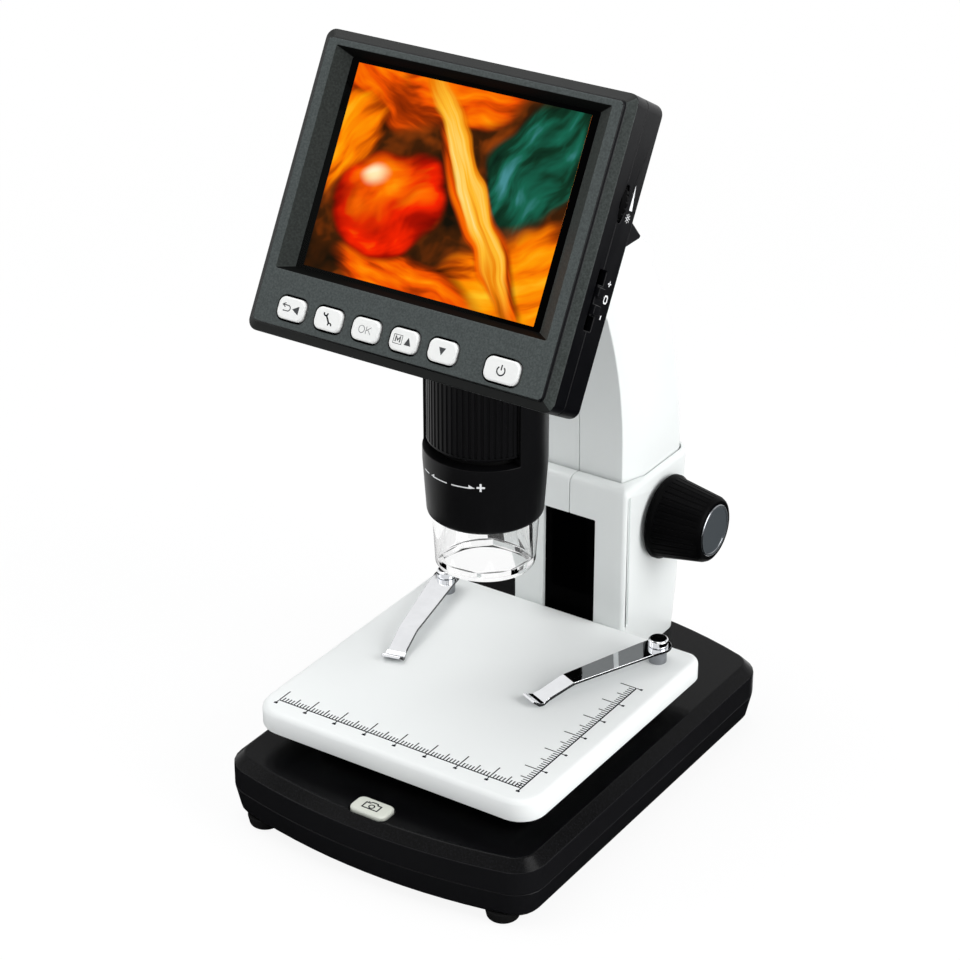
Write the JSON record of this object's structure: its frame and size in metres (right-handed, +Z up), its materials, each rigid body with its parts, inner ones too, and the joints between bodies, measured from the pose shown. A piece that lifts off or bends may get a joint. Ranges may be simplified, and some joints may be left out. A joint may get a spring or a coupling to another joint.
{
  "type": "lcd digital microscope",
  "caption": "Desktop microscope: tilting screen and camera head on a curved arm that slides in a focus post, over a ruled stage with spring clips and a weighted base.",
  "frame": {"origin": "on the table, under the middle of the whole part's box", "axes": "+Z up, +X to the user's right, -Y towards the user"},
  "size_m": [0.1012, 0.1465, 0.2183],
  "materials": {
    "black_shell": "satin",
    "deck_black": "gloss",
    "rubber": "matte",
    "steel": "satin",
    "white_shell": "gloss",
    "stage_white": "satin",
    "circuit_board": "matte",
    "button_white": "satin",
    "chrome": "mirror",
    "smoked": "gloss",
    "brass": "satin",
    "gear_nylon": "matte",
    "knob_black": "satin",
    "disc_grey": "gloss",
    "carriage_black": "matte",
    "optics_black": "matte",
    "lens_glass": "clear",
    "lamp": "gloss",
    "clear_shade": "clear",
    "screen_black": "satin",
    "picture": "gloss",
    "battery_blue": "matte",
    "key_white": "satin"
  },
  "bodies": {
    "base": {"base_top_shell": "deck_black", "base_bottom_shell": "black_shell", "rubber_feet": "rubber", "ballast_plate": "steel", "base_screws": "steel", "shutter_board": "circuit_board", "stage_plate": "stage_white", "stage_screws": "steel", "clip_stud_left": "chrome", "clip_stud_right": "chrome", "post_left_shell": "white_shell", "post_right_shell": "white_shell", "post_window": "smoked", "guide_rods": "steel", "shaft_bushes": "brass"},
    "capture_button": {"shutter_button": "button_white"},
    "left_clip": {"clip_left": "chrome"},
    "right_clip": {"clip_right": "chrome"},
    "focus_drive": {"focus_shaft": "steel", "focus_pinion": "gear_nylon", "knob_left": "knob_black", "knob_right": "knob_black", "knob_disc_left": "disc_grey", "knob_disc_right": "disc_grey"},
    "arm": {"carriage": "carriage_black", "rack": "gear_nylon", "arm_left_shell": "white_shell", "arm_right_shell": "white_shell", "neck_bracket": "steel", "head_lower_shell": "black_shell", "head_upper_shell": "black_shell", "head_screws": "steel", "barrel_casing": "black_shell", "barrel_core": "optics_black", "sensor_board": "circuit_board", "led_board": "circuit_board", "leds": "lamp", "light_shade": "clear_shade", "hinge_pins": "steel"},
    "ring": {"magnification_ring": "knob_black"},
    "lens_group": {"lens_carrier": "optics_black", "lenses": "lens_glass"},
    "screen": {"screen_front_shell": "screen_black", "screen_rear_shell": "screen_black", "screen_panel": "picture", "main_board": "circuit_board", "battery": "battery_blue", "screen_screws": "steel"},
    "back_key": {"key_back": "key_white"},
    "setup_key": {"key_setup": "key_white"},
    "ok_key": {"key_ok": "key_white"},
    "mode_key": {"key_mode": "key_white"},
    "down_key": {"key_down": "key_white"},
    "power_switch": {"key_power": "key_white"},
    "dimmer": {"dimmer_wheel": "knob_black"},
    "zoom_switch": {"zoom_lever": "knob_black"}
  },
  "joints": [
    {"name": "focus_slide", "type": "slide", "parent": "base", "child": "arm", "axis": [0, 0, 1], "range_m": [-0.006, 0.018]},
    {"name": "focus_turn", "type": "hinge", "parent": "base", "child": "focus_drive", "pos_m": [0, 0.05365, 0.0635], "axis": [-1, 0, 0], "range_deg": [-57.5, 172.1]},
    {"name": "screen_tilt", "type": "hinge", "parent": "arm", "child": "screen", "pos_m": [0, -0.02353, 0.15584], "axis": [1, 0, 0], "range_deg": [-20, 29]},
    {"name": "ring_turn", "type": "hinge", "parent": "arm", "child": "ring", "pos_m": [0, -0.01105, 0.122], "axis": [0, 0, 1], "range_deg": [-110, 110]},
    {"name": "lens_slide", "type": "slide", "parent": "arm", "child": "lens_group", "axis": [0, 0, 1], "range_m": [-0.0038, 0.0038]},
    {"name": "left_clip_swivel", "type": "hinge", "parent": "base", "child": "left_clip", "pos_m": [-0.0363, 0.02325, 0.0384], "axis": [0, 0, 1], "range_deg": [-40, 60]},
    {"name": "right_clip_swivel", "type": "hinge", "parent": "base", "child": "right_clip", "pos_m": [0.0363, 0.02325, 0.0384], "axis": [0, 0, 1], "range_deg": [-60, 40]},
    {"name": "capture_press", "type": "slide", "parent": "base", "child": "capture_button", "axis": [0, 0, -1], "range_m": [0, 0.0006], "stiffness_N_per_m": 600, "springref_m": -0.0006},
    {"name": "back_press", "type": "slide", "parent": "screen", "child": "back_key", "axis": [0, 0.8734, -0.4869], "range_m": [0, 0.0005], "stiffness_N_per_m": 400, "springref_m": -0.0006},
    {"name": "setup_press", "type": "slide", "parent": "screen", "child": "setup_key", "axis": [0, 0.8734, -0.4869], "range_m": [0, 0.0005], "stiffness_N_per_m": 400, "springref_m": -0.0006},
    {"name": "ok_press", "type": "slide", "parent": "screen", "child": "ok_key", "axis": [0, 0.8734, -0.4869], "range_m": [0, 0.0005], "stiffness_N_per_m": 400, "springref_m": -0.0006},
    {"name": "mode_press", "type": "slide", "parent": "screen", "child": "mode_key", "axis": [0, 0.8734, -0.4869], "range_m": [0, 0.0005], "stiffness_N_per_m": 400, "springref_m": -0.0006},
    {"name": "down_press", "type": "slide", "parent": "screen", "child": "down_key", "axis": [0, 0.8734, -0.4869], "range_m": [0, 0.0005], "stiffness_N_per_m": 400, "springref_m": -0.0006},
    {"name": "power_press", "type": "slide", "parent": "screen", "child": "power_switch", "axis": [0, 0.8734, -0.4869], "range_m": [0, 0.0005], "stiffness_N_per_m": 400, "springref_m": -0.0006},
    {"name": "dimmer_turn", "type": "hinge", "parent": "screen", "child": "dimmer", "pos_m": [0.04, -0.02088, 0.19203], "axis": [0, -0.8734, 0.4869], "range_deg": [-150, 150]},
    {"name": "zoom_slide", "type": "slide", "parent": "screen", "child": "zoom_switch", "axis": [0, 0.4869, 0.8734], "range_m": [-0.003, 0.003], "stiffness_N_per_m": 300}
  ],
  "couplings": [
    {"joint": "focus_turn", "follows": "focus_slide", "rad_per_m": 166.67},
    {"joint": "ring_turn", "follows": "lens_slide", "rad_per_m": 500}
  ]
}
